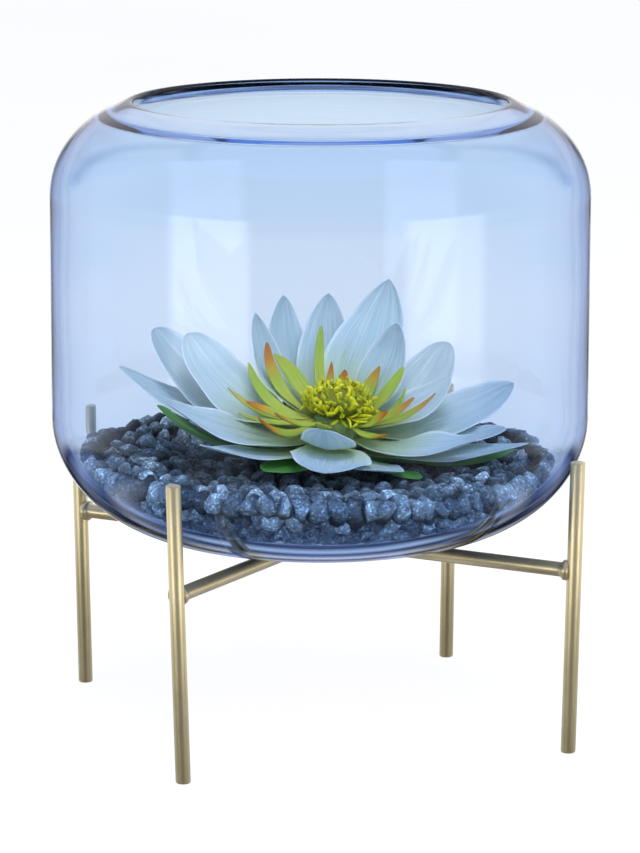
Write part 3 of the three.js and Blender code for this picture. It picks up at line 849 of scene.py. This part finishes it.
def gravel():
    """The stones in two meshes: those in sight, and plainer ones deep in the pile."""
    rng = np.random.default_rng(SEED)
    centres = settled_centres(rng, STONE_COUNT, STONE_SPACING)
    sizes = STONE_SPACING * rng.uniform(0.52, 0.72, len(centres))
    near_top = top_over(centres) - centres[:, 2] < 0.9 * STONE_SPACING
    near_glass = np.abs(inside_glass(centres, 0.62 * STONE_SPACING) - centres).max(1) > 0.01
    seen = near_top | near_glass
    material = stone_material()
    for name, chosen, subdivisions in (("gravel_outer_stones", seen, 3), ("gravel_inner_stones", ~seen, 2)):
        piece = gravel_pile(name, rng, centres[chosen], sizes[chosen], subdivisions, material)
        stand_for(piece, "gravel", "gravel_bed")


# ---------------- the flower
def leaf_outline(t, root_share, blunt):
    """Half a leaf's width at t along it, as a share of its widest half width."""
    widest_at = 0.58
    power = 2.8 + 2.2 * blunt
    closing = 0.8 - 0.28 * blunt
    growing = root_share + (1 - root_share) * np.sin(math.pi / 2 * np.minimum(1, t / widest_at))
    return growing * np.maximum(0, 1 - np.clip(t, 0, 1) ** power) ** closing


def leaf_middle(leaf, t, side, waves, phase, crease):
    """The middle surface of a leaf before it is turned to its azimuth. t is 0 at the root and 1 at the tip,
    side is -1 at one edge and 1 at the other."""
    start = np.array([leaf.root.radius, leaf.root.height])
    end = np.array([leaf.reach, leaf.rise])
    line = end - start
    sag = np.array([line[1], -line[0]]) / np.linalg.norm(line)
    bend = (start + end) / 2 + 2 * leaf.bow * sag
    centre = [(1 - t) ** 2 * start[k] + 2 * t * (1 - t) * bend[k] + t * t * end[k] for k in (0, 1)]
    ahead = [(1 - t) * (bend[k] - start[k]) + t * (end[k] - bend[k]) for k in (0, 1)]
    length = np.hypot(*ahead)
    up_x, up_z = -ahead[1] / length, ahead[0] / length
    half = leaf.width / 2 * np.maximum(leaf_outline(t, leaf.root.width / leaf.width, leaf.blunt), 0.004)
    lopsided = 1 + 0.06 * np.sin(math.pi * t + phase) * np.sign(side)
    uneven_edge = 1 + 0.012 * t * np.sin(29 * t + 20 * phase * np.sign(side))
    half = half * lopsided * uneven_edge
    turn = math.radians(leaf.roll) * smooth_step(t / 0.6)
    sideways = side * half
    cupped = leaf.cup * half * side**2
    ripple = waves * np.sin(2 * math.pi * (1.6 * t + phase * np.sign(side))) * np.abs(side) ** 3 * half / 10
    midrib = crease * np.exp(-((side / 0.16) ** 2)) * np.sin(math.pi * t)
    lift = cupped + ripple - midrib
    rise = lift * np.cos(turn) + sideways * np.sin(turn)
    return np.stack(
        [
            centre[0] + up_x * rise,
            sideways * np.cos(turn) - lift * np.sin(turn) + leaf.sweep * t**2,
            centre[1] + up_z * rise,
        ],
        axis=-1,
    )


def sheet_faces(along, across):
    """Faces of a closed sheet whose points are a grid for its top, and then one for its underside."""
    count = (along + 1) * (across + 1)

    def at(i, j):
        return i * (across + 1) + j

    faces = []
    for i in range(along):
        for j in range(across):
            quad = (at(i, j), at(i + 1, j), at(i + 1, j + 1), at(i, j + 1))
            faces.append(quad)
            faces.append(tuple(count + k for k in reversed(quad)))
        for a, b in ((at(i, 0), at(i + 1, 0)), (at(i + 1, across), at(i, across))):
            faces.append((a, a + count, b + count, b))
    for j in range(across):
        for a, b in ((at(0, j + 1), at(0, j)), (at(along, j), at(along, j + 1))):
            faces.append((a, a + count, b + count, b))
    return faces


def add_leaf_uvs(piece, t, side):
    """Both sides of the leaf get the same UVs."""
    uvs = np.stack([(side.ravel() + 1) / 2, t.ravel()], axis=1)
    uvs = np.concatenate([uvs, uvs])
    corners = np.empty(len(piece.data.loops), np.int32)
    piece.data.loops.foreach_get("vertex_index", corners)
    layer = piece.data.uv_layers.new(name="leaf")
    layer.data.foreach_set("uv", uvs[corners].ravel())


def leaf_piece(leaf, thickness, material, along, across, waves=0.7, crease=0.25):
    """A leaf as a closed sheet of along x across faces, thicker in its middle than at its edges."""
    rng = random.Random(leaf.name)
    phase = rng.uniform(-0.5, 0.5)
    stations = 1 - (1 - np.linspace(0, 1, along + 1)) ** 1.3
    sides = np.sin(math.pi / 2 * np.linspace(-1, 1, across + 1))
    t, side = np.meshgrid(stations, sides, indexing="ij")

    def middle_at(t, side):
        return leaf_middle(leaf, t, side, waves, phase, crease)

    step = 0.003
    ahead = middle_at(t + step, side) - middle_at(t - step, side)
    sideways = middle_at(t, side + step) - middle_at(t, side - step)
    up = np.cross(ahead, sideways)
    up /= np.linalg.norm(up, axis=-1, keepdims=True)
    half_thickness = thickness / 2 * (1 - 0.6 * np.abs(side) ** 4) * (1 - 0.35 * t)
    middle = middle_at(t, side)
    top = (middle + up * half_thickness[..., None]).reshape(-1, 3)
    under = (middle - up * half_thickness[..., None]).reshape(-1, 3)
    points = np.concatenate([top, under])
    place = flower_place @ turned_to(leaf.azimuth)
    piece = mesh_object("lily_" + leaf.name, points, sheet_faces(along, across), material, place)
    add_leaf_uvs(piece, t, side)
    point_attribute(piece, "variety", [rng.random()] * len(points))
    return piece


def filament(foot, lean, bend_to, length, thick, curl):
    """Points and faces of one curled filament, slimmer at its foot and rounded at its tip."""
    rings, sides = 9, 7
    points = []
    for ring in range(rings):
        s = ring / (rings - 1)
        angle = curl * s
        direction = lean * math.cos(angle) + bend_to * math.sin(angle)
        spine = foot + length / curl * (lean * math.sin(angle) + bend_to * (1 - math.cos(angle)))
        taper = 0.3 if s < 0.5 else 1
        girth = thick * math.sqrt(max(0.03, 1 - taper * (2 * s - 1) ** 2))
        side = np.cross(lean, bend_to)
        up = np.cross(direction, side)
        for around in np.linspace(0, 2 * math.pi, sides, endpoint=False):
            points.append(tuple(spine + girth * (side * math.cos(around) + 0.8 * up * math.sin(around))))
    faces = [tuple(reversed(range(sides))), tuple((rings - 1) * sides + k for k in range(sides))]
    for ring in range(rings - 1):
        for k in range(sides):
            a = ring * sides + k
            b = ring * sides + (k + 1) % sides
            faces.append((a, b, b + sides, a + sides))
    return points, faces


def stamen_filaments(rng):
    """Foot, lean, length, thickness and curl of each: stout ones over the dome, slim ones round it."""
    dome_centre = np.array([0, 0, STAMEN_DOME_BASE])
    dome_size = np.array([STAMEN_DOME_RADIUS, STAMEN_DOME_RADIUS, STAMEN_DOME_RISE])
    golden = math.pi * (3 - math.sqrt(5))
    covered = 1.12  # 1 would end the dome level with its middle
    for index in range(DOME_FILAMENTS):
        polar = math.acos(1 - covered * (index + 0.5) / DOME_FILAMENTS)
        azimuth = index * golden
        outward = np.array(
            [math.sin(polar) * math.cos(azimuth), math.sin(polar) * math.sin(azimuth), math.cos(polar)]
        )
        foot = dome_centre + outward * dome_size
        lean = outward + 0.55 * rng.normal(size=3)
        yield foot, lean, rng.uniform(3.0, 4.8), rng.uniform(0.72, 0.98), rng.uniform(1.0, 2.6)
    for index in range(SKIRT_FILAMENTS):
        azimuth = index * golden
        outward = np.array([math.cos(azimuth), math.sin(azimuth), 0])
        foot = outward * STAMEN_SKIRT_RADIUS + np.array([0, 0, rng.uniform(8.4, 12)])
        lean = outward + rng.normal(size=3) * np.array([0.25, 0.25, 0.2]) + np.array([0, 0, 0.15])
        yield foot, lean, rng.uniform(5.0, 8.5), rng.uniform(0.5, 0.72), rng.uniform(0.5, 1.6)


def stamen_dome():
    """A dense dome of curled filaments over a solid core."""
    rng = np.random.default_rng(SEED + 1)
    below = [(0, 8.6), (6, 8.6), (9.6, 11.2), (11.2, 13.6)]
    above = [(11.2, 15.8), (9.6, 17.6), (6.4, 19), (0, 19.6)]
    points, faces = lathe(below + above, 24)
    points = [tuple(point) for point in points]
    shades = [0.0] * len(points)
    for foot, lean, length, thick, curl in stamen_filaments(rng):
        lean = lean / np.linalg.norm(lean)
        bend_to = rng.normal(size=3) + np.array([0, 0, 0.6])
        bend_to -= lean * (bend_to @ lean)
        bend_to /= np.linalg.norm(bend_to)
        own_points, own_faces = filament(foot, lean, bend_to, length, thick, curl)
        faces += [tuple(len(points) + k for k in face) for face in own_faces]
        points += own_points
        shades += [0.2 + 0.8 * rng.random()] * len(own_points)
    piece = mesh_object("lily_stamens", points, faces, stamen_material(), flower_place)
    point_attribute(piece, "shade", shades)
    stand_for(piece, "stamen", "stamen_cluster")


def receptacle():
    """The green core, with a shallow scar for each leaf."""
    below = [(0, -6.6), (4, -6.6), (6.6, -6.2), (8, -5.2), (8.5, -3.8), (8.2, -2), (7.8, 0)]
    above = [(7.5, 2), (7.7, 3.8), (8.3, 5.2), (8.6, 6.4), (8, 7.6), (5.6, 8.2), (0, 8.2)]
    points, faces = lathe(below + above, 64)
    scarred = []
    for x, y, z in points:
        scar = 1 - 0.02 * (1 + math.sin(16 * math.atan2(y, x) + 0.9 * z))
        scarred.append((x * scar, y * scar, z))
    piece = mesh_object("lily_receptacle", scarred, faces, receptacle_material(), flower_place)
    stand_for(piece, "receptacle", "receptacle")


def flower():
    """The core, the stamens and the rows of leaves, from the outermost in."""
    receptacle()
    stamen_dome()
    sepal = sepal_material()
    for leaf in SEPALS:
        stand_for(leaf_piece(leaf, SEPAL_THICKNESS, sepal, 36, 16), "sepal", leaf.name)
    petal = petal_material()
    for leaf in OUTER_PETALS + SECOND_PETALS + THIRD_PETALS + INNER_PETALS:
        stand_for(leaf_piece(leaf, PETAL_THICKNESS, petal, 40, 20), "petal", leaf.name)
    petaloid = petaloid_material()
    for leaf in PETALOIDS:
        piece = leaf_piece(leaf, PETALOID_THICKNESS, petaloid, 28, 8, waves=0.2, crease=0.1)
        point_attribute(piece, "orange", [leaf.orange] * len(piece.data.vertices))
        stand_for(piece, "petaloid", leaf.name)


# ---------------- camera, floor and light
CAMERA_AZIMUTH = PLANTING_TURN - 90  # where the camera stands in plan, seen from the bowl
CAMERA_DISTANCE = 1563
CAMERA_HEIGHT = 422.5
CAMERA_PITCH = 11.25
CAMERA_ROLL = 0.1
SENSOR_HEIGHT = 36
PHOTO_HEIGHT = 853  # pixels
FOCAL_PIXELS = 4267
FLOOR_HALF_WIDTH = 40000
FLOOR_HEIGHT = -0.1

# aside: a lamp's azimuth from the camera's, positive to the right, aim: the height over the floor it faces
Lamp = namedtuple("Lamp", "name aside distance height aim width tall power")
LAMPS = [
    Lamp("softbox_left", -49, 560, 310, 310, 340, 400, 1.2),
    Lamp("softbox_right", 51, 560, 310, 310, 340, 400, 1.4),
    Lamp("softbox_front", 8, 800, 640, 130, 300, 300, 2.6),
    Lamp("softbox_top", 30, 300, 1300, 130, 600, 600, 9),
]

# The surroundings' colours. Those over 1 are brighter than white paper.
PANEL = (2.2, 2.2, 2.2, 1)
PALE = (1.12, 1.1, 1.07, 1)
BACKDROP = (0.9, 0.99, 1.04, 1)
HAZE = (0.78, 0.77, 0.86, 1)
DUSK = (0.58, 0.64, 0.8, 1)
NAVY = (0.08, 0.1, 0.17, 1)
SKY = (0.16, 0.21, 0.38, 1)
CEILING = (0.36, 0.5, 0.86, 1)


def in_plan(azimuth, distance, height):
    """A place in metres."""
    angle = math.radians(azimuth)
    return Vector((distance * math.cos(angle), distance * math.sin(angle), height)) * MM


def camera():
    """The photo's own view."""
    data = bpy.data.cameras.new("camera")
    data.sensor_fit = "VERTICAL"
    data.sensor_height = SENSOR_HEIGHT
    data.lens = FOCAL_PIXELS * SENSOR_HEIGHT / PHOTO_HEIGHT
    made = linked_object("camera", data)
    made.matrix_world = (
        Matrix.Translation(in_plan(CAMERA_AZIMUTH, CAMERA_DISTANCE, CAMERA_HEIGHT))
        @ turned_to(CAMERA_AZIMUTH + 90)
        @ Matrix.Rotation(math.radians(90 - CAMERA_PITCH), 4, "X")
        @ Matrix.Rotation(math.radians(CAMERA_ROLL), 4, "Z")
    )
    bpy.context.scene.camera = made


def softbox(lamp):
    """A rectangular lamp that lights the bowl and isn't seen itself, not even as a reflection."""
    data = bpy.data.lights.new(lamp.name, "AREA")
    data.shape = "RECTANGLE"
    data.size = lamp.width * MM
    data.size_y = lamp.tall * MM
    data.energy = lamp.power
    made = linked_object(lamp.name, data)
    made.location = in_plan(CAMERA_AZIMUTH + lamp.aside, lamp.distance, lamp.height)
    ahead = Vector((0, 0, lamp.aim * MM)) - made.location
    made.rotation_euler = ahead.to_track_quat("-Z", "Y").to_euler()
    made.visible_camera = False
    made.visible_transmission = False
    made.visible_glossy = False


def both_sides(panels, between=()):
    """Panels of one side, after the same ones mirrored and those between."""
    return [(-angle, colour) for angle, colour in reversed(panels)] + [*between] + panels


def panels_round(tree, direction, panels):
    """Light round the object, as stops of an angle from the camera's side and a colour or a grey."""
    inputs = {"Vector": direction, "Angle": math.radians(-CAMERA_AZIMUTH)}
    turned = add_node(tree, "VectorRotate", inputs, rotation_type="Z_AXIS").outputs[0]
    parts = axes(tree, turned)
    aside = maths(tree, "ARCTAN2", parts["Y"], parts["X"])
    share = maths(tree, "ADD", maths(tree, "DIVIDE", aside, 2 * math.pi), 0.5)
    return ramp(tree, share, *[(angle / 360 + 0.5, colour) for angle, colour in panels])


def low_surroundings(tree, direction, steepness, behind):
    """Two tall panels beside a dim camera, over dark ground. Behind the object is a pale wall with dark
    edges, over streaked ground."""
    wall = [(105, 0.8), (125, 0.85), (157, DUSK), (164, NAVY), (170, PALE), (180, PALE)]
    left = [(-68, 0.6), (-63, PANEL), (-32, PANEL), (-28, 0.27)]
    right = [(34, 0.27), (39, PANEL), (70, PANEL), (75, 0.55)]
    around = panels_round(tree, direction, both_sides(wall, left + right))
    stops = [(0.14, NAVY), (0.19, 1.1), (0.23, NAVY), (0.29, DUSK), (0.34, NAVY), (0.368, 1.0)]
    streaked = ramp(tree, steepness, *stops)
    dark = ramp(tree, steepness, (0.28, 0.08), (0.395, 0.08), (0.406, 1.0))
    return multiplied(tree, around, mixed(tree, behind, dark, streaked))


def middle_surroundings(tree, direction):
    """A dusky sky over the camera, and haze between dark edges behind the object."""
    side = [(70, SKY), (105, 0.8), (124, 0.8), (132, NAVY), (140, HAZE), (180, HAZE)]
    return panels_round(tree, direction, both_sides(side))


def reflected_surroundings(tree, direction, steepness):
    """Low and middle surroundings, and a blue ceiling with a dark edge behind the object."""
    behind = panels_round(tree, direction, both_sides([(80, 0.0), (105, 1.0)]))
    low = low_surroundings(tree, direction, steepness, behind)
    middle_share = ramp(tree, steepness, (0.53, 0.0), (0.545, 1.0))
    walls = mixed(tree, middle_share, low, middle_surroundings(tree, direction))
    ceiling_share = ramp(tree, steepness, (0.915, 0.0), (0.925, 1.0))
    ceiled = mixed(tree, ceiling_share, walls, CEILING)
    edge_share = ramp(tree, steepness, (0.9, 0.0), (0.91, 0.9), (0.925, 0.9), (0.935, 0.0))
    return mixed(tree, maths(tree, "MULTIPLY", behind, edge_share), ceiled, NAVY)


def studio_world():
    """What shows through the glass is a pale sweep. Glass and brass reflect the surroundings."""
    world = bpy.data.worlds.new("studio")
    world.use_nodes = True
    tree = world.node_tree
    tree.nodes.clear()
    direction = add_node(tree, "TexCoord").outputs["Generated"]
    upwards = maths(tree, "MULTIPLY", axes(tree, direction)["Z"], 0.5)
    steepness = maths(tree, "ADD", upwards, 0.5)  # 0 straight down, 0.5 level, 1 straight up
    reflected = reflected_surroundings(tree, direction, steepness)
    sweep = ramp(tree, steepness, (0.416, PALE), (0.431, BACKDROP))
    path = add_node(tree, "LightPath").outputs
    straight = maths(tree, "SUBTRACT", path["Is Transmission Ray"], path["Glossy Depth"], clamp=True)
    brightness = mixed(tree, straight, reflected, sweep)
    background = add_node(tree, "Background", {"Color": brightness, "Strength": 1.0})
    add_node(tree, "OutputWorld", {"Surface": background.outputs[0]})
    bpy.context.scene.world = world


def studio():
    """The floor, the lamps and the surroundings, which aren't part of the object."""
    half = FLOOR_HALF_WIDTH
    corners = [(-half, -half), (half, -half), (half, half), (-half, half)]
    points = [(x, y, FLOOR_HEIGHT) for x, y in corners]
    floor = mesh_object("floor", points, [(0, 1, 2, 3)], floor_material())
    floor.visible_glossy = False
    floor.visible_transmission = False
    floor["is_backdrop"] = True
    for lamp in LAMPS:
        softbox(lamp)
    studio_world()
    bpy.context.scene.view_settings.view_transform = "Standard"


camera()
studio()
glass_bowl()
brass_stand()
gravel()
flower()

bpy.context.view_layer.update()
corners = {"cad": cad_box, "visual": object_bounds()}
{name: [list(corner) for corner in box] for name, box in corners.items()}
